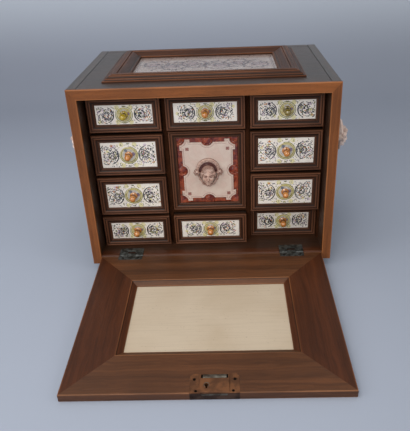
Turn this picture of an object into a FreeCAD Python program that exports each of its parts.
import FreeCAD, Part
import math
import os
import re

import Sketcher

# Table cabinet with a fall front, ten small drawers and one deep square drawer.
# Frame: +X to the right as one faces the cabinet, +Y towards its back, +Z up, Z = 0 the table top.
# At rest the fall front is open and its free edge lies on the table; the drawers are in.

doc = FreeCAD.newDocument("cabinet")

# Driving sizes in millimetres
DRIVING = [
    # Case
    ("side_thickness", 18.0),
    ("top_thickness", 20.0),
    ("base_thickness", 18.0),
    ("back_thickness", 18.0),
    ("case_depth", 318.0),
    ("edging_depth", 5.0),
    ("nosing_depth", 18.0),
    ("joint_groove", 1.6),
    ("foot_height", 17.0),
    ("foot_top_radius", 20.0),
    ("foot_base_radius", 15.0),
    ("foot_inset", 34.0),
    # Drawer nest
    ("nest_setback", 14.0),
    ("partition_thickness", 8.0),
    ("shelf_thickness", 4.4),
    ("side_guide_thickness", 3.5),
    ("nest_top_thickness", 6.5),
    ("drawer_recess", 40.0),
    ("drawer_side_play", 1.0),
    ("drawer_foot_play", 0.4),
    ("drawer_head_play", 2.8),
    ("side_front_width", 141.0),
    ("centre_front_width", 153.0),
    ("row_1_height", 69.8),
    ("row_2_height", 85.1),
    ("row_3_height", 84.6),
    ("row_4_height", 69.5),
    ("drawer_rear_play", 4.0),
    ("pushed_in", 26.0),
    ("square_pushed_in", 13.5),
    # Drawer pieces
    ("front_thickness", 8.0),
    ("wall_thickness", 5.0),
    ("bottom_thickness", 3.0),
    ("wall_drop", 4.0),
    ("moulding_width", 15.0),
    ("moulding_height", 9.0),
    ("moulding_lip", 3.0),
    ("moulding_groove", 1.6),
    ("tile_thickness", 5.0),
    ("tile_play", 0.2),
    ("knob_flange_radius", 8.0),
    ("knob_flange_thickness", 2.5),
    ("knob_neck_radius", 4.0),
    ("knob_reach", 15.0),
    ("knob_radius", 6.5),
    # Masks
    ("centre_mask_width", 62.0),
    ("centre_mask_height", 66.0),
    ("centre_mask_relief", 20.0),
    ("centre_mask_drop", 6.0),
    ("side_mask_width", 70.0),
    ("side_mask_height", 82.0),
    ("side_mask_relief", 52.0),
    ("side_mask_from_front", 150.0),
    ("side_mask_above_floor", 198.0),
    # Raised frame and tile on the top
    ("top_frame_width", 382.0),
    ("top_frame_depth", 238.0),
    ("top_frame_from_front", 40.0),
    ("top_frame_border", 47.0),
    ("top_frame_height", 12.0),
    ("top_frame_foot_width", 5.0),
    ("top_frame_foot_height", 3.0),
    ("top_frame_crest_from_edge", 16.0),
    ("top_frame_crest_width", 8.0),
    ("top_frame_groove", 1.5),
    ("top_frame_inner_height", 3.0),
    ("top_tile_thickness", 5.0),
    ("top_tile_lip", 4.0),
    # Fall front
    ("flap_thickness", 15.0),
    ("flap_side_play", 1.2),
    ("flap_end_play", 1.0),
    ("flap_border", 77.0),
    ("flap_rim_width", 12.5),
    ("flap_tile_drop", 8.0),
    ("flap_rim_lip", 1.5),
    ("flap_tile_thickness", 5.0),
    ("flap_bead_width", 8.0),
    # Hinges
    ("hinge_width", 50.0),
    ("hinge_from_centre", 169.0),
    ("hinge_leaf_thickness", 2.0),
    ("hinge_leaf_reach", 20.0),
    ("hinge_finger_reach", 8.5),
    ("barrel_radius", 7.0),
    ("pin_radius", 2.0),
    ("pin_play", 0.05),
    ("knuckle_play", 0.4),
    ("notch_play", 1.0),
    ("hinge_screw_spacing", 32.0),
    ("screw_head_radius", 2.8),
    ("screw_radius", 1.5),
    ("screw_length", 10.0),
    # Lock
    ("lock_width", 78.0),
    ("lock_offset", 12.0),
    ("lock_plate_thickness", 1.5),
    ("lock_plate_reach", 36.0),
    ("lock_body_width", 46.0),
    ("lock_body_reach", 34.0),
    ("lock_body_rise", 2.5),
    ("lock_mortise_depth", 7.0),
    ("lock_screw_spacing", 64.0),
    ("lock_screw_from_edge", 25.5),
    ("lock_edge_screw_spacing", 55.0),
    ("keyhole_radius", 2.6),
    ("keyhole_slot_width", 2.4),
    ("keyhole_slot_length", 5.5),
    ("keyhole_from_edge", 13.5),
    ("keyhole_from_lock_middle", 12.5),
    ("bolt_width", 40.0),
    ("bolt_thickness", 4.0),
    ("bolt_length", 25.0),
    ("bolt_window_width", 8.0),
    ("bolt_play", 0.3),
    ("bolt_throw", 6.0),
    ("strike_plate_width", 54.0),
    ("strike_plate_depth", 12.0),
    ("strike_mortise_depth", 10.0),
    ("cut_overrun", 2.0),
]

# Sizes that follow from the driving sizes
DERIVED = [
    ("nest_gap", "partition_thickness + 2 * drawer_side_play"),
    ("wall_gap", "side_guide_thickness + drawer_side_play"),
    ("row_gap", "shelf_thickness + drawer_foot_play + drawer_head_play"),
    ("opening_width", "centre_front_width + 2 * (side_front_width + nest_gap + wall_gap)"),
    ("half_opening", "opening_width / 2"),
    ("case_width", "opening_width + 2 * side_thickness"),
    ("half_case", "case_width / 2"),
    ("floor_height", "foot_height + base_thickness"),
    ("row_4_bottom", "floor_height + drawer_foot_play"),
    ("row_3_bottom", "row_4_bottom + row_4_height + row_gap"),
    ("row_2_bottom", "row_3_bottom + row_3_height + row_gap"),
    ("row_1_bottom", "row_2_bottom + row_2_height + row_gap"),
    ("nest_top", "row_1_bottom + row_1_height + drawer_head_play"),
    ("opening_top", "nest_top + nest_top_thickness"),
    ("case_top", "opening_top + top_thickness"),
    ("square_front_height", "row_2_height + row_gap + row_3_height"),
    ("drawer_length", "case_depth - back_thickness - drawer_recess - pushed_in - drawer_rear_play"),
    ("hinge_axis_depth", "flap_thickness / 2"),
    ("hinge_axis_height", "floor_height - flap_thickness / 2"),
    ("flap_near", "flap_thickness / 2 + flap_end_play"),
    ("flap_length", "opening_top - floor_height - 2 * flap_end_play"),
    ("flap_far", "flap_near + flap_length"),
    ("flap_width", "opening_width - 2 * flap_side_play"),
    ("flap_tilt", "asin(hinge_axis_height / sqrt(flap_far ^ 2 + hinge_axis_depth ^ 2))"
                  " - atan(hinge_axis_depth / flap_far)"),
    ("flap_reach", "flap_far * cos(flap_tilt) + (flap_thickness / 2 + lock_body_rise) * sin(flap_tilt)"
                   " - hinge_axis_depth"),
    ("front_y", "(flap_reach - case_depth) / 2"),
    ("back_y", "front_y + case_depth"),
    ("board_back_y", "back_y - back_thickness"),
    ("nest_front_y", "front_y + drawer_recess + nest_setback"),
    ("left_column_x", "-half_opening + wall_gap"),
    ("centre_column_x", "-centre_front_width / 2"),
    ("right_column_x", "half_opening - wall_gap - side_front_width"),
    ("knuckle_width", "hinge_width / 3"),
    ("hinge_axis_y", "front_y + hinge_axis_depth"),
    ("bolt_high", "flap_thickness / 2 - lock_plate_thickness - bolt_play"),
    ("bolt_low", "bolt_high - bolt_thickness"),
    ("top_tile_width", "top_frame_width - 2 * (top_frame_border - top_tile_lip)"),
    ("top_tile_depth", "top_frame_depth - 2 * (top_frame_border - top_tile_lip)"),
    ("top_tile_front", "front_y + top_frame_from_front + top_frame_border - top_tile_lip"),
    ("screw_head_depth", "screw_head_radius - screw_radius"),
    ("key_x", "-keyhole_from_lock_middle"),
]

sizes = doc.addObject("Spreadsheet::Sheet", "Sizes")
for row, (alias, value) in enumerate(DRIVING, start=1):
    sizes.set(f"A{row}", alias)
    sizes.set(f"B{row}", str(value))
    sizes.setAlias(f"B{row}", alias)
for row, (alias, formula) in enumerate(DERIVED, start=len(DRIVING) + 1):
    sizes.set(f"A{row}", alias)
    sizes.set(f"B{row}", "=" + formula)
    sizes.setAlias(f"B{row}", alias)
ALIASES = {alias for alias, _ in DRIVING + DERIVED}
doc.recompute()

X_AXIS = FreeCAD.Vector(1, 0, 0)
Y_AXIS = FreeCAD.Vector(0, 1, 0)
Z_AXIS = FreeCAD.Vector(0, 0, 1)
QUARTER_TURN = 90
NO_TURN = FreeCAD.Rotation()
# Turns a flat thing drawn in X and Y up to face the front: its Y becomes up and its Z points forward
UPRIGHT = FreeCAD.Rotation(X_AXIS, QUARTER_TURN)
NODES = []


def axes_to(x, y, z):
    """The rotation that carries the three axes to these directions."""
    return FreeCAD.Rotation(x, y, z, "ZXY")


def sized(expression):
    """The expression with each size name pointing at the sheet."""
    return re.sub(r"[A-Za-z_]\w*", lambda m: "Sizes." + m[0] if m[0] in ALIASES else m[0], expression)


def bind(thing, **expressions):
    """Binds properties to expressions of the sheet's sizes."""
    for name, expression in expressions.items():
        thing.setExpression(name, sized(expression))
    return thing


def value_of(expression):
    """The number that an expression of the sheet's sizes gives now."""
    value = sizes.evalExpression(expression)
    return float(getattr(value, "Value", value))


def put(thing, x="0", y="0", z="0", rotation=NO_TURN):
    """Places a thing at expressions, turned by a fixed rotation."""
    thing.Placement = FreeCAD.Placement(FreeCAD.Vector(), rotation)
    for axis, expression in zip("xyz", (x, y, z)):
        thing.setExpression("Placement.Base." + axis, sized(expression))
    return thing


def node(thing, label):
    """Marks a thing as one sub-part, whose label names its file."""
    thing.Label = label
    NODES.append(thing)
    return thing


def box(name, x, y, z):
    """A box between two corners, each axis given as a low and a high expression."""
    thing = doc.addObject("Part::Box", name)
    bind(thing, Length=f"({x[1]}) - ({x[0]})", Width=f"({y[1]}) - ({y[0]})", Height=f"({z[1]}) - ({z[0]})")
    return put(thing, x[0], y[0], z[0])


def cylinder(name, radius, height, **place):
    thing = doc.addObject("Part::Cylinder", name)
    bind(thing, Radius=radius, Height=height)
    return put(thing, **place)


def cone(name, radius_1, radius_2, height, **place):
    thing = doc.addObject("Part::Cone", name)
    bind(thing, Radius1=radius_1, Radius2=radius_2, Height=height)
    return put(thing, **place)


def sphere(name, radius, **place):
    thing = doc.addObject("Part::Sphere", name)
    bind(thing, Radius=radius)
    return put(thing, **place)


def compound(name, things):
    thing = doc.addObject("Part::Compound", name)
    thing.Links = things
    return thing


def fuse(name, things):
    thing = doc.addObject("Part::MultiFuse", name)
    thing.Shapes = things
    thing.Refine = True
    return thing


def cut(name, base, tool):
    thing = doc.addObject("Part::Cut", name)
    thing.Base = base
    thing.Tool = tool
    thing.Refine = True
    return thing


def strip(name, length, bands, cut_ends=("1", "1")):
    """A straight strip with mitred ends, lying along X with its outer edge on Y = 0.

    Each band is (inset from, inset to, bottom from, bottom to, top from, top to).
    """
    wedges = []
    for count, (near, far, low_near, low_far, high_near, high_far) in enumerate(bands):
        wedge = doc.addObject("Part::Wedge", f"{name}_band_{count}")
        bind(wedge, Ymin=near, Ymax=far, Zmin=low_near, Z2min=low_far, Zmax=high_near, Z2max=high_far)
        bind(wedge, Xmin=f"({near}) * {cut_ends[0]}", X2min=f"({far}) * {cut_ends[0]}")
        bind(wedge, Xmax=f"({length}) - ({near}) * {cut_ends[1]}")
        bind(wedge, X2max=f"({length}) - ({far}) * {cut_ends[1]}")
        wedges.append(wedge)
    return fuse(name, wedges) if len(wedges) > 1 else wedges[0]


def mitred_frame(name, width, height, bands, left="0", low="0", z="0"):
    """Four mitred strips round a rectangle, from its lower side round by the right."""
    right, high = f"{left} + {width}", f"{low} + {height}"
    corners = [(left, low, width), (right, low, height), (right, high, width), (left, high, height)]
    sides = []
    for count, (x, y, length) in enumerate(corners):
        side = strip(f"{name}_{count}", length, bands)
        sides.append(put(side, x, y, z, FreeCAD.Rotation(Z_AXIS, QUARTER_TURN * count)))
    return sides


def plane_of(body, role):
    return next(f for f in body.Origin.OriginFeatures if f.Role == role)


def sketch_in(body, role, name):
    sketch = body.newObject("Sketcher::SketchObject", name)
    sketch.AttachmentSupport = [(plane_of(body, role), "")]
    sketch.MapMode = "FlatFace"
    return sketch


def pin_point(sketch, line, end, x, y):
    """Fixes one end of a line at two expressions measured from the sketch's origin."""
    for kind, expression in (("DistanceX", x), ("DistanceY", y)):
        if expression == "0":
            axis = -2 if kind == "DistanceX" else -1
            sketch.addConstraint(Sketcher.Constraint("PointOnObject", line, end, axis))
            continue
        index = sketch.addConstraint(Sketcher.Constraint(kind, -1, 1, line, end, value_of(expression)))
        sketch.setExpression(f"Constraints[{index}]", sized(expression))


def hold_radius(sketch, circle, radius):
    index = sketch.addConstraint(Sketcher.Constraint("Radius", circle, value_of(radius)))
    sketch.setExpression(f"Constraints[{index}]", sized(radius))


def outline(sketch, points, rounds=None):
    """A closed outline through points given as expressions.

    rounds gives a side's number its arc's centre and radius; an arc runs anticlockwise.
    """
    rounds = rounds or {}
    spots = [FreeCAD.Vector(value_of(x), value_of(y), 0) for x, y in points]
    sides = []
    for i, (start, end) in enumerate(zip(spots, spots[1:] + spots[:1])):
        if i not in rounds:
            sides.append(sketch.addGeometry(Part.LineSegment(start, end)))
            continue
        centre = FreeCAD.Vector(value_of(rounds[i][0]), value_of(rounds[i][1]), 0)
        angles = [math.atan2(spot.y - centre.y, spot.x - centre.x) for spot in (start, end)]
        circle = Part.Circle(centre, Z_AXIS, value_of(rounds[i][2]))
        sides.append(sketch.addGeometry(Part.ArcOfCircle(circle, *angles)))
    for side, following in zip(sides, sides[1:] + sides[:1]):
        sketch.addConstraint(Sketcher.Constraint("Coincident", side, 2, following, 1))
    for side, (x, y) in zip(sides, points):
        pin_point(sketch, side, 1, x, y)
    for i, (_, _, radius) in rounds.items():
        hold_radius(sketch, sides[i], radius)


def rectangle(body, role, name, x, y):
    """A sketch of one rectangle on a body's origin plane."""
    sketch = sketch_in(body, role, name)
    outline(sketch, [(x[0], y[0]), (x[1], y[0]), (x[1], y[1]), (x[0], y[1])])
    return sketch


def hole(body, role, name, x, y, radius):
    """A sketch of one circle on a body's origin plane."""
    sketch = sketch_in(body, role, name)
    centre = FreeCAD.Vector(value_of(x), value_of(y), 0)
    circle = sketch.addGeometry(Part.Circle(centre, Z_AXIS, value_of(radius)))
    pin_point(sketch, circle, 3, x, y)
    hold_radius(sketch, circle, radius)
    return sketch


def pad(body, sketch, length, both_ways=False, reversed_way=False):
    feature = body.newObject("PartDesign::Pad", sketch.Name + "_pad")
    feature.Profile = sketch
    feature.Midplane = both_ways
    feature.Reversed = reversed_way
    return bind(feature, Length=length)


def pocket(body, sketch, length, reversed_way=False):
    feature = body.newObject("PartDesign::Pocket", sketch.Name + "_pocket")
    feature.Profile = sketch
    feature.Reversed = reversed_way
    return bind(feature, Length=length)


def hinge_middles():
    return (("left", "-hinge_from_centre"), ("right", "hinge_from_centre"))


def make_hinge_cutters():
    """What the hinges take out of the base: a notch for each barrel and a bed for each leaf."""
    tools = []
    for side, middle in hinge_middles():
        low, high = f"{middle} - hinge_width / 2", f"{middle} + hinge_width / 2"
        tools.append(box(
            f"{side}_barrel_notch",
            (f"{low} - knuckle_play", f"{high} + knuckle_play"),
            ("front_y - cut_overrun", "hinge_axis_y + hinge_finger_reach"),
            ("hinge_axis_height - barrel_radius - notch_play", "floor_height + cut_overrun"),
        ))
        tools.append(box(
            f"{side}_leaf_bed",
            (low, high),
            ("hinge_axis_y", "hinge_axis_y + hinge_leaf_reach"),
            ("floor_height - hinge_leaf_thickness", "floor_height + cut_overrun"),
        ))
    return compound("hinge_cutters", tools)


def make_groove_cutters():
    """Square bars set on edge, which cut the thin dark grooves along the joints of the top."""
    on_edge = FreeCAD.Rotation(Z_AXIS, QUARTER_TURN / 2)
    along_y = FreeCAD.Rotation(X_AXIS, -QUARTER_TURN) * on_edge
    along_x = FreeCAD.Rotation(Y_AXIS, QUARTER_TURN) * on_edge
    sink = "joint_groove / sqrt(2)"
    front, high = "front_y + edging_depth", f"case_top + {sink}"
    tools = []
    for name, rotation, length, x, y, z in (
        ("left_groove", along_y, "case_depth", "-half_opening", front, high),
        ("right_groove", along_y, "case_depth", "half_opening", front, high),
        ("back_groove", along_x, "opening_width", "-half_opening", f"board_back_y - {sink}", "case_top"),
    ):
        bar = doc.addObject("Part::Box", name)
        bind(bar, Length="joint_groove", Width="joint_groove", Height=length)
        tools.append(put(bar, x, y, z, rotation))
    return compound("groove_cutters", tools)


def make_edging():
    """The light strips on the front edges of the sides and the top, mitred at the upper corners."""
    side_band = [("0", "side_thickness", "0", "0", "edging_depth", "edging_depth")]
    top_band = [("0", "top_thickness", "0", "0", "edging_depth", "edging_depth")]
    side_length = "case_top - foot_height"
    steep, flat = "top_thickness / side_thickness", "side_thickness / top_thickness"
    left = strip("left_edging", side_length, side_band, ("0", steep))
    put(left, "-half_case", "front_y", "foot_height", axes_to(Z_AXIS, X_AXIS, Y_AXIS))
    right = strip("right_edging", side_length, side_band, (steep, "0"))
    put(right, "half_case", "front_y", "case_top", axes_to(-Z_AXIS, -X_AXIS, Y_AXIS))
    top = strip("top_edging", "case_width", top_band, (flat, flat))
    put(top, "-half_case", "front_y", "case_top", axes_to(X_AXIS, -Z_AXIS, Y_AXIS))
    return [left, right, top]


def make_nosing(hinge_cutters):
    """The light strip at the front of the base, rounded to the hinge axis and notched for the barrels."""
    body = doc.addObject("PartDesign::Body", "nosing_body")
    sketch = sketch_in(body, "YZ_Plane", "nosing_profile")
    round_start = "base_thickness - hinge_axis_depth"
    points = [
        ("0", "0"),
        ("nosing_depth", "0"),
        ("nosing_depth", "base_thickness"),
        ("hinge_axis_depth", "base_thickness"),
        ("0", round_start),
    ]
    outline(sketch, points, {3: ("hinge_axis_depth", round_start, "hinge_axis_depth")})
    pad(body, sketch, "opening_width", both_ways=True)
    put(body, "0", "front_y", "foot_height")
    return cut("base_nosing", body, hinge_cutters)


def make_case(hinge_screws):
    """The carcass boards, light front edging, base nosing and feet."""
    grooves = make_groove_cutters()
    hinges = make_hinge_cutters()
    behind_edging = "front_y + edging_depth"
    for side, x in (("left", ("-half_case", "-half_opening")), ("right", ("half_opening", "half_case"))):
        board = box(f"{side}_side_board", x, (behind_edging, "back_y"), ("foot_height", "case_top"))
        node(cut(f"{side}_side_cut", board, grooves), f"{side}_side")
    inner_x = ("-half_opening", "half_opening")
    top = box("top_plain", inner_x, (behind_edging, "board_back_y"), ("opening_top", "case_top"))
    strike_x = ("lock_offset - strike_plate_width / 2", "lock_offset + strike_plate_width / 2")
    strike_y = (behind_edging, f"{behind_edging} + strike_plate_depth")
    strike_bed = box(
        "strike_bed", strike_x, strike_y, ("opening_top - cut_overrun", "opening_top + lock_plate_thickness")
    )
    strike_mortise = box(
        "strike_mortise",
        ("lock_offset - bolt_width / 2 - bolt_play", "lock_offset + bolt_width / 2 + bolt_play"),
        ("hinge_axis_y + bolt_low - bolt_play", "hinge_axis_y + bolt_high + bolt_play"),
        ("opening_top - cut_overrun", "opening_top + strike_mortise_depth"),
    )
    tile_bed = box(
        "top_tile_bed",
        ("-top_tile_width / 2", "top_tile_width / 2"),
        ("top_tile_front - tile_play", "top_tile_front + top_tile_depth + tile_play"),
        ("case_top - top_tile_thickness", "case_top + cut_overrun"),
    )
    tools = compound("top_cutters", [grooves, strike_bed, strike_mortise, tile_bed])
    node(cut("top_cut", top, tools), "top_board")
    plate = box("strike_plain", strike_x, strike_y, ("opening_top", "opening_top + lock_plate_thickness"))
    node(cut("strike_cut", plate, strike_mortise), "strike_plate")
    base_y = ("front_y + nosing_depth", "board_back_y")
    base = box("base_plain", inner_x, base_y, ("foot_height", "floor_height"))
    node(cut("base_cut", base, compound("base_cutters", [hinges, hinge_screws])), "base_board")
    back = box("back_plain", inner_x, ("board_back_y", "back_y"), ("foot_height", "case_top"))
    node(cut("back_cut", back, grooves), "back_board")
    node(compound("edging", make_edging() + [make_nosing(hinges)]), "front_edging")
    feet = []
    for side, x in (("left", "-half_case + foot_inset"), ("right", "half_case - foot_inset")):
        for end, y in (("front", "front_y + foot_inset"), ("back", "back_y - foot_inset")):
            name = f"{end}_{side}_foot"
            feet.append(cone(name, "foot_base_radius", "foot_top_radius", "foot_height", x=x, y=y))
    node(compound("all_feet", feet), "feet")


def make_nest():
    """The thin boards that part the drawers from each other and from the case."""
    y = ("nest_front_y", "board_back_y")
    z = ("floor_height", "nest_top")
    linings = [
        box("left_guide", ("-half_opening", "-half_opening + side_guide_thickness"), y, z),
        box("right_guide", ("half_opening - side_guide_thickness", "half_opening"), y, z),
        box("top_lining", ("-half_opening", "half_opening"), y, ("nest_top", "opening_top")),
    ]
    node(compound("linings", linings), "nest_lining")
    half_middle = "centre_front_width / 2 + drawer_side_play"
    partitions = [
        box("left_partition", (f"-({half_middle}) - partition_thickness", f"-({half_middle})"), y, z),
        box("right_partition", (half_middle, f"{half_middle} + partition_thickness"), y, z),
    ]
    node(compound("both_partitions", partitions), "partitions")
    outer = f"{half_middle} + partition_thickness"
    inner = "half_opening - side_guide_thickness"
    shelves = []
    for column, x, rows in (
        ("left", (f"-({inner})", f"-({outer})"), (1, 2, 3)),
        ("centre", (f"-({half_middle})", half_middle), (1, 3)),
        ("right", (outer, inner), (1, 2, 3)),
    ):
        for row in rows:
            high = f"row_{row}_bottom - drawer_foot_play"
            shelves.append(box(f"{column}_shelf_{row}", x, y, (f"{high} - shelf_thickness", high)))
    node(compound("all_shelves", shelves), "shelves")


def make_top_frame():
    """The raised moulded frame on the top and the tile it holds down."""
    foot, rise, high = "top_frame_foot_width", "top_frame_crest_from_edge", "top_frame_height"
    crest = "top_frame_crest_from_edge + top_frame_crest_width"
    groove = "top_frame_crest_from_edge + top_frame_crest_width + top_frame_groove"
    sunk = "top_frame_height - top_frame_groove"
    bands = [
        ("0", foot, "0", "0", "top_frame_foot_height", "top_frame_foot_height"),
        (foot, rise, "0", "0", "top_frame_height / 2", sunk),
        (rise, crest, "0", "0", high, high),
        (crest, groove, "0", "0", sunk, sunk),
        (groove, "top_frame_border", "0", "0", high, "top_frame_inner_height"),
    ]
    sides = mitred_frame("top_frame", "top_frame_width", "top_frame_depth", bands)
    frame = compound("top_frame_sides", sides)
    put(frame, "-top_frame_width / 2", "front_y + top_frame_from_front", "case_top")
    node(frame, "top_frame")
    node(box(
        "top_tile_plate",
        ("-top_tile_width / 2 + tile_play", "top_tile_width / 2 - tile_play"),
        ("top_tile_front", "top_tile_front + top_tile_depth"),
        ("case_top - top_tile_thickness", "case_top"),
    ), "top_tile")


def moulding_bands():
    """The stepped profile of a drawer front's moulding, from its outer edge to the tile."""
    groove = "moulding_lip + moulding_groove"
    inner = "moulding_width - moulding_lip"
    low = "moulding_height - 2 * moulding_groove"
    crest = "moulding_height - moulding_groove / 2"
    return [
        ("0", "moulding_lip", "0", "0", "moulding_height", "moulding_height"),
        ("moulding_lip", groove, "0", "0", low, low),
        (groove, inner, "0", "0", crest, "moulding_height - moulding_groove"),
        (inner, "moulding_width", "0", "0", low, "tile_thickness + moulding_groove / 2"),
    ]


def make_drawer(name, x, z, width, height, rest="0"):
    """One drawer: its box with the mitred front mouldings, and the tile on its front."""
    facing = compound(f"{name}_mouldings", mitred_frame(f"{name}_moulding", width, height, moulding_bands()))
    put(facing, "0", "moulding_height", "0", UPRIGHT)
    front = "moulding_height + front_thickness"
    wall_top = f"{height} - wall_drop"
    run = (front, "drawer_length")
    inner_x = ("wall_thickness", f"{width} - wall_thickness")
    boards = [
        box(f"{name}_front", ("0", width), ("moulding_height", front), ("0", height)),
        box(f"{name}_left_wall", ("0", "wall_thickness"), run, ("0", wall_top)),
        box(f"{name}_right_wall", (f"{width} - wall_thickness", width), run, ("0", wall_top)),
        box(f"{name}_rear_wall", inner_x, ("drawer_length - wall_thickness", "drawer_length"),
            ("bottom_thickness", wall_top)),
        box(f"{name}_bottom", inner_x, run, ("0", "bottom_thickness")),
    ]
    drawer = compound(f"{name}_pieces", [facing] + boards)
    place = {"x": x, "y": f"front_y + drawer_recess + {rest}", "z": z}
    node(put(drawer, **place), f"{name}_box")
    edge = "moulding_width + tile_play"
    tile = compound(f"{name}_tile_plate", [box(
        f"{name}_plate",
        (edge, f"{width} - ({edge})"),
        ("moulding_height - tile_thickness", "moulding_height"),
        (edge, f"{height} - ({edge})"),
    )])
    node(put(tile, **place), f"{name}_tile")
    face = {
        "x": f"{x} + {width} / 2",
        "y": f"{place['y']} + moulding_height - tile_thickness",
        "z": f"{z} + ({height}) / 2",
    }
    return face


def make_knob(name, face):
    """A turned and glazed knob: a flange, a neck and a ball, standing on the tile's face."""
    body = doc.addObject("PartDesign::Body", f"{name}_body")
    sketch = sketch_in(body, "XZ_Plane", f"{name}_profile")
    points = [
        ("0", "0"),
        ("knob_flange_radius", "0"),
        ("knob_neck_radius", "knob_flange_thickness"),
        ("knob_neck_radius", "knob_reach - sqrt(knob_radius ^ 2 - knob_neck_radius ^ 2)"),
        ("0", "knob_reach + knob_radius"),
    ]
    outline(sketch, points, {3: ("0", "knob_reach", "knob_radius")})
    turned = body.newObject("PartDesign::Revolution", f"{name}_turned")
    turned.Profile = sketch
    turned.ReferenceAxis = (sketch, ["V_Axis"])
    put(body, face["x"], face["y"], face["z"], UPRIGHT)
    node(body, f"{name}_knob")


# A mask's parts as shares of its width, height, relief or head
MASK_SHARES = {
    "plate_radius": 0.40,
    "plate_relief": 0.12,
    "head_radius": 0.24,
    "head_rise": 0.10,
    "neck": 0.90,
    "jaw_start": 0.94,
    "jaw_end": 0.42,
    "jaw_drop": 0.30,
    "chin": 0.52,
    "nose_tip": 0.22,
    "nose_bridge": 0.10,
    "nose_drop": 0.16,
    "hood_radius": 0.36,
    "hood_tube": 0.10,
    "hood_height": 0.30,
    "wing_offset": 0.36,
    "wing_radius": 0.13,
    "wing_relief": 0.30,
}


def make_mask(name, size, x, y, z, rotation):
    """A face in high relief on a round plate, under an arched hood and between two rosettes."""
    width, height, relief = (f"{size}_{word}" for word in ("width", "height", "relief"))
    share = MASK_SHARES
    head = f"{width} * {share['head_radius']}"
    head_y = f"{height} * {share['head_rise']}"
    nose = f"{head} * {share['nose_tip']}"
    head_z = f"({relief} - {head} - {nose} / 2)"
    jaw_drop = f"{height} * {share['jaw_drop']}"
    tube = f"{width} * {share['hood_tube']}"
    plate_radius = f"{width} * {share['plate_radius']}"
    downwards = FreeCAD.Rotation(X_AXIS, QUARTER_TURN)
    hood = doc.addObject("Part::Torus", f"{name}_hood")
    bind(hood, Radius1=f"{width} * {share['hood_radius']}", Radius2=tube)
    hood.Angle3 = 2 * QUARTER_TURN
    put(hood, "0", head_y, f"{relief} * {share['hood_height']}")
    lumps = [
        cylinder(f"{name}_plate", plate_radius, f"{relief} * {share['plate_relief']}"),
        cylinder(f"{name}_neck", f"{head} * {share['neck']}", head_z, y=head_y),
        sphere(f"{name}_head", head, y=head_y, z=head_z),
        cone(f"{name}_jaw", f"{head} * {share['jaw_start']}", f"{head} * {share['jaw_end']}", jaw_drop,
             y=head_y, z=head_z, rotation=downwards),
        sphere(f"{name}_chin", f"{head} * {share['chin']}", y=f"{head_y} - {jaw_drop}", z=head_z),
        cone(f"{name}_nose", f"{head} * {share['nose_bridge']}", nose, f"{height} * {share['nose_drop']}",
             y=head_y, z=f"{head_z} + {head} - {nose} / 2", rotation=downwards),
        hood,
    ]
    for side, sign in (("left", "-"), ("right", "")):
        lumps.append(cylinder(
            f"{name}_{side}_wing",
            f"{width} * {share['wing_radius']}",
            f"{relief} * {share['wing_relief']}",
            x=f"{sign}{width} * {share['wing_offset']}",
        ))
    whole = fuse(f"{name}_whole", lumps)
    behind = box(f"{name}_behind", (f"-{width}", width), (f"-{height}", height), (f"-{relief}", "0"))
    node(put(cut(f"{name}_relief", whole, behind), x, y, z, rotation), name)


def make_drawers():
    """Ten drawers with knobs, and the deep square one with a mask for a pull."""
    for column in ("left", "centre", "right"):
        small = "centre_front_width" if column == "centre" else "side_front_width"
        for row in ((1, 4) if column == "centre" else (1, 2, 3, 4)):
            name = f"{column}_drawer_{row}"
            rest = "pushed_in" if name == "right_drawer_4" else "0"
            x, z, height = f"{column}_column_x", f"row_{row}_bottom", f"row_{row}_height"
            make_knob(name, make_drawer(name, x, z, small, height, rest))
    face = make_drawer(
        "square_drawer", "centre_column_x", "row_3_bottom", "centre_front_width", "square_front_height",
        "square_pushed_in",
    )
    height = f"{face['z']} - centre_mask_drop"
    make_mask("square_drawer_mask", "centre_mask", face["x"], face["y"], height, UPRIGHT)


def make_side_masks():
    height = "floor_height + side_mask_above_floor"
    depth = "front_y + side_mask_from_front"
    facing_left = axes_to(-Y_AXIS, Z_AXIS, -X_AXIS)
    facing_right = axes_to(Y_AXIS, Z_AXIS, X_AXIS)
    make_mask("left_side_mask", "side_mask", "-half_case", depth, height, facing_left)
    make_mask("right_side_mask", "side_mask", "half_case", depth, height, facing_right)


def hang(thing):
    """Puts a piece of the fall front, made lying level about its hinge axis, where it rests open."""
    thing.Placement = FreeCAD.Placement(FreeCAD.Vector(), FreeCAD.Rotation(X_AXIS, 1))
    bind(thing, **{
        "Placement.Base.y": "hinge_axis_y",
        "Placement.Base.z": "hinge_axis_height",
        "Placement.Rotation.Angle": "flap_tilt",
    })
    return thing


def make_screw(name, x, y, z, rotation=NO_TURN):
    """A countersunk screw, its head's face at the origin and its shank along -Z."""
    head_depth = "screw_head_depth"
    head = cone(f"{name}_head", "screw_radius", "screw_head_radius", head_depth, z=f"-{head_depth}")
    shank = cylinder(f"{name}_shank", "screw_radius", "screw_length", z="-screw_length")
    return put(fuse(name, [head, shank]), x, y, z, rotation)


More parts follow.
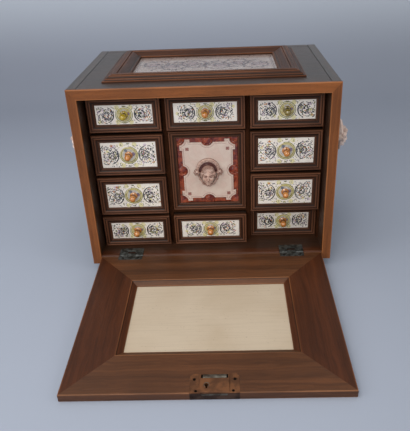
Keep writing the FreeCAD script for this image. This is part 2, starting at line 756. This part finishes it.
def make_leaf(name, middle, knuckles, rotation):
    """A hinge leaf lying level behind its pin: a plate, with fingers that carry knuckles."""
    top = "flap_thickness / 2"
    z = (f"{top} - hinge_leaf_thickness", top)
    along = axes_to(-Z_AXIS, Y_AXIS, X_AXIS)
    plate_x = ("-hinge_width / 2", "hinge_width / 2")
    pieces = [box(f"{name}_plate", plate_x, ("hinge_finger_reach", "hinge_leaf_reach"), z)]
    for knuckle in knuckles:
        start = f"{knuckle} * knuckle_width - hinge_width / 2 + {min(knuckle, 1)} * knuckle_play / 2"
        end = f"{knuckle + 1} * knuckle_width - hinge_width / 2 - {min(2 - knuckle, 1)} * knuckle_play / 2"
        pieces.append(box(f"{name}_finger_{knuckle}", (start, end), ("0", "hinge_finger_reach"), z))
        pieces.append(cylinder(
            f"{name}_knuckle_{knuckle}", "barrel_radius", f"({end}) - ({start})", x=start, rotation=along
        ))
    return put(fuse(name, pieces), x=middle, rotation=rotation)


def leaf_screws(name, middle, way):
    """Two screws through a leaf, with their heads flush in it."""
    y = f"{way}(hinge_finger_reach + hinge_leaf_reach) / 2"
    return [
        make_screw(f"{name}_screw_{i}", f"{middle} {sign} hinge_screw_spacing / 2", y, "flap_thickness / 2")
        for i, sign in enumerate("-+")
    ]


def at_axis(thing):
    """Moves a thing made about the hinge axis to the case's hinge axis."""
    return put(thing, y="hinge_axis_y", z="hinge_axis_height")


def make_hinges():
    """Two butt hinges; returns the screws of the case leaves and of the fall front's leaves."""
    bores, pins, case_leaves, case_screws, flap_leaves, flap_screws = [], [], [], [], [], []
    along = axes_to(-Z_AXIS, Y_AXIS, X_AXIS)
    half_turn = FreeCAD.Rotation(Z_AXIS, 2 * QUARTER_TURN)
    for side, middle in hinge_middles():
        low = f"{middle} - hinge_width / 2"
        bores.append(cylinder(
            f"{side}_pin_bore", "pin_radius + pin_play", "hinge_width + 2 * cut_overrun",
            x=f"{low} - cut_overrun", rotation=along,
        ))
        pins.append(cylinder(f"{side}_pin", "pin_radius", "hinge_width", x=low, rotation=along))
        case_leaves.append(make_leaf(f"{side}_case_leaf", middle, (0, 2), NO_TURN))
        case_screws += leaf_screws(f"{side}_case_leaf", middle, "")
        flap_leaves.append(make_leaf(f"{side}_flap_leaf", middle, (1,), half_turn))
        flap_screws += leaf_screws(f"{side}_flap_leaf", middle, "-")
    case_tools = compound("case_leaf_tools", bores + case_screws)
    leaves = cut("case_leaves_cut", compound("case_leaves_plain", case_leaves), case_tools)
    node(at_axis(leaves), "case_hinge_leaves")
    node(at_axis(compound("both_pins", pins)), "hinge_pins")
    set_screws = node(at_axis(compound("all_case_screws", case_screws)), "case_hinge_screws")
    flap_tools = compound("flap_leaf_tools", bores + flap_screws)
    leaves = cut("flap_leaves_cut", compound("flap_leaves_plain", flap_leaves), flap_tools)
    node(hang(leaves), "flap_hinge_leaves")
    return set_screws, flap_screws


def make_keyhole(body, name, depth, upwards):
    """Cuts the keyhole, a round hole with a slot towards the free edge, up or down from the plate's face."""
    name = f"{name}_keyhole"
    round_part = hole(body, "XY_Plane", f"{name}_round", "key_x", "keyhole_from_edge", "keyhole_radius")
    pocket(body, round_part, depth, reversed_way=upwards)
    slot = rectangle(
        body,
        "XY_Plane",
        f"{name}_slot",
        ("key_x - keyhole_slot_width / 2", "key_x + keyhole_slot_width / 2"),
        ("keyhole_from_edge - keyhole_slot_length", "keyhole_from_edge"),
    )
    pocket(body, slot, depth, reversed_way=upwards)


def make_lock_case():
    """The lock's plate, the edge plate folded from it, and the raised body with the keyhole.

    Its own frame has X along the fall front's free edge, Y towards the hinges and Z up from the plate.
    """
    body = doc.addObject("PartDesign::Body", "lock_body")
    across = ("-lock_width / 2", "lock_width / 2")
    plate = rectangle(body, "XY_Plane", "lock_plate_outline", across, ("0", "lock_plate_reach"))
    pad(body, plate, "lock_plate_thickness", reversed_way=True)
    edge = rectangle(body, "XY_Plane", "lock_edge_outline", across, ("0", "lock_plate_thickness"))
    pad(body, edge, "flap_thickness", reversed_way=True)
    cover_x = ("-lock_body_width / 2", "lock_body_width / 2")
    cover = rectangle(body, "XY_Plane", "lock_cover_outline", cover_x, ("0", "lock_body_reach"))
    pad(body, cover, "lock_body_rise")
    doc.recompute()
    make_keyhole(body, "upper", "lock_body_rise", upwards=True)
    make_keyhole(body, "lower", "lock_plate_thickness", upwards=False)
    window = rectangle(
        body,
        "XZ_Plane",
        "bolt_way",
        ("-bolt_width / 2 - bolt_play", "bolt_width / 2 + bolt_play"),
        ("bolt_low - flap_thickness / 2 - bolt_play", "bolt_high - flap_thickness / 2 + bolt_play"),
    )
    pocket(body, window, "lock_plate_thickness")
    return put(body, "lock_offset", "-flap_far", "flap_thickness / 2")


def make_bolt():
    """The lock's bolt, flush with the free edge when drawn back; the key's bit works in its window."""
    body = doc.addObject("PartDesign::Body", "bolt_body")
    across = ("-bolt_width / 2", "bolt_width / 2")
    pad(body, rectangle(body, "XY_Plane", "bolt_outline", across, ("0", "bolt_length")), "bolt_thickness")
    doc.recompute()
    window = rectangle(
        body,
        "XY_Plane",
        "key_window",
        ("key_x - bolt_window_width / 2", "key_x + bolt_window_width / 2"),
        ("keyhole_from_edge - keyhole_slot_length", "keyhole_from_edge + keyhole_slot_length"),
    )
    pocket(body, window, "bolt_thickness", reversed_way=True)
    return put(body, "lock_offset", "-flap_far", "bolt_low")


def make_lock_cutters():
    """What the lock takes out of the rail: its plate's bed, the edge plate's bed and the bolt's mortise."""
    plate_x = ("lock_offset - lock_width / 2", "lock_offset + lock_width / 2")
    outside = "-flap_far - cut_overrun"
    above = "flap_thickness / 2 + cut_overrun"
    under_plate = "flap_thickness / 2 - lock_plate_thickness"
    return [
        box("lock_plate_bed", plate_x, (outside, "-flap_far + lock_plate_reach"), (under_plate, above)),
        box("lock_edge_bed", plate_x, (outside, "-flap_far + lock_plate_thickness"),
            ("-flap_thickness / 2 - cut_overrun", above)),
        box("lock_mortise",
            ("lock_offset - bolt_width / 2 - bolt_play", "lock_offset + bolt_width / 2 + bolt_play"),
            (outside, "-flap_far + bolt_length + bolt_play"),
            (f"{under_plate} - lock_mortise_depth", above)),
    ]


def make_lock_screws():
    """Two screws down through the lock's plate and two into the free edge through its edge plate."""
    screws = []
    y = "-flap_far + lock_screw_from_edge"
    for i, sign in enumerate("-+"):
        x = f"lock_offset {sign} lock_screw_spacing / 2"
        screws.append(make_screw(f"plate_screw_{i}", x, y, "flap_thickness / 2"))
        x = f"lock_offset {sign} lock_edge_screw_spacing / 2"
        screws.append(make_screw(f"edge_screw_{i}", x, "-flap_far", "0", UPRIGHT))
    return screws


def make_rails(hinge_screws, lock_screws):
    """The fall front's four mitred sides, with the beds of the lock and of the hinges."""
    half = "flap_thickness / 2"
    sunk = f"{half} - flap_tile_drop"
    rim = "flap_border + flap_rim_width"
    bands = [
        ("0", "flap_border", f"-{half}", f"-{half}", half, half),
        ("flap_border", rim, sunk, sunk, f"{half} - flap_rim_lip", f"{sunk} + flap_rim_lip"),
    ]
    sides = mitred_frame("fall_front", "flap_width", "flap_length", bands, "-flap_width / 2", "-flap_far")
    lock_rail, right_stile, hinge_rail, left_stile = sides
    tools = compound("lock_rail_tools", make_lock_cutters() + lock_screws)
    node(hang(cut("lock_rail_cut", lock_rail, tools)), "flap_lock_rail")
    tools = list(hinge_screws)
    for side, middle in hinge_middles():
        leaf_x = (f"{middle} - hinge_width / 2", f"{middle} + hinge_width / 2")
        leaf_z = (f"{half} - hinge_leaf_thickness", f"{half} + cut_overrun")
        tools.append(box(f"{side}_flap_leaf_bed", leaf_x, ("-hinge_leaf_reach", "0"), leaf_z))
    node(hang(cut("hinge_rail_cut", hinge_rail, compound("hinge_rail_tools", tools))), "flap_hinge_rail")
    node(hang(compound("both_stiles", [left_stile, right_stile])), "flap_stiles")


def make_fall_front(hinge_screws):
    """The fall front with its tile, beads and lock, made lying level about the hinge axis."""
    lock_screws = make_lock_screws()
    make_rails(hinge_screws, lock_screws)
    sunk = "flap_thickness / 2 - flap_tile_drop"
    gap = "flap_border + tile_play"
    tile = box(
        "flap_tile_plate",
        (f"-flap_width / 2 + {gap}", f"flap_width / 2 - ({gap})"),
        (f"-flap_far + {gap}", f"-flap_near - ({gap})"),
        (f"{sunk} - flap_tile_thickness", sunk),
    )
    node(hang(compound("flap_tile_whole", [tile])), "flap_tile")
    bead_height = "flap_thickness - flap_tile_drop - flap_tile_thickness"
    beads = mitred_frame(
        "flap_bead",
        "flap_width - 2 * flap_border",
        "flap_length - 2 * flap_border",
        [("0", "flap_bead_width", "0", "0", bead_height, bead_height)],
        "flap_border - flap_width / 2",
        "flap_border - flap_far",
        "-flap_thickness / 2",
    )
    node(hang(compound("all_beads", beads)), "flap_beads")
    node(hang(compound("all_flap_screws", hinge_screws + lock_screws)), "flap_screws")
    lock = cut("lock_case_cut", make_lock_case(), compound("lock_case_tools", lock_screws))
    node(hang(lock), "lock_case")
    node(hang(compound("bolt_whole", [make_bolt()])), "lock_bolt")


case_hinge_screws, fall_front_hinge_screws = make_hinges()
make_case(case_hinge_screws)
make_nest()
make_top_frame()
make_drawers()
make_side_masks()
make_fall_front(fall_front_hinge_screws)
doc.recompute()

failed = [thing.Name for thing in doc.Objects if {"Invalid", "Error"} & set(thing.State)]
failed += [thing.Label for thing in NODES if thing.Shape.isNull() or not thing.Shape.isValid()]
if failed:
    raise SystemExit("these objects failed: " + ", ".join(failed))

os.makedirs("parts", exist_ok=True)
for thing in NODES:
    thing.Shape.exportStep(f"parts/{thing.Label}.step")
for alias, _ in DERIVED:
    print(f"{alias} = {value_of(alias):.4f}")
print(len(NODES), "nodes")
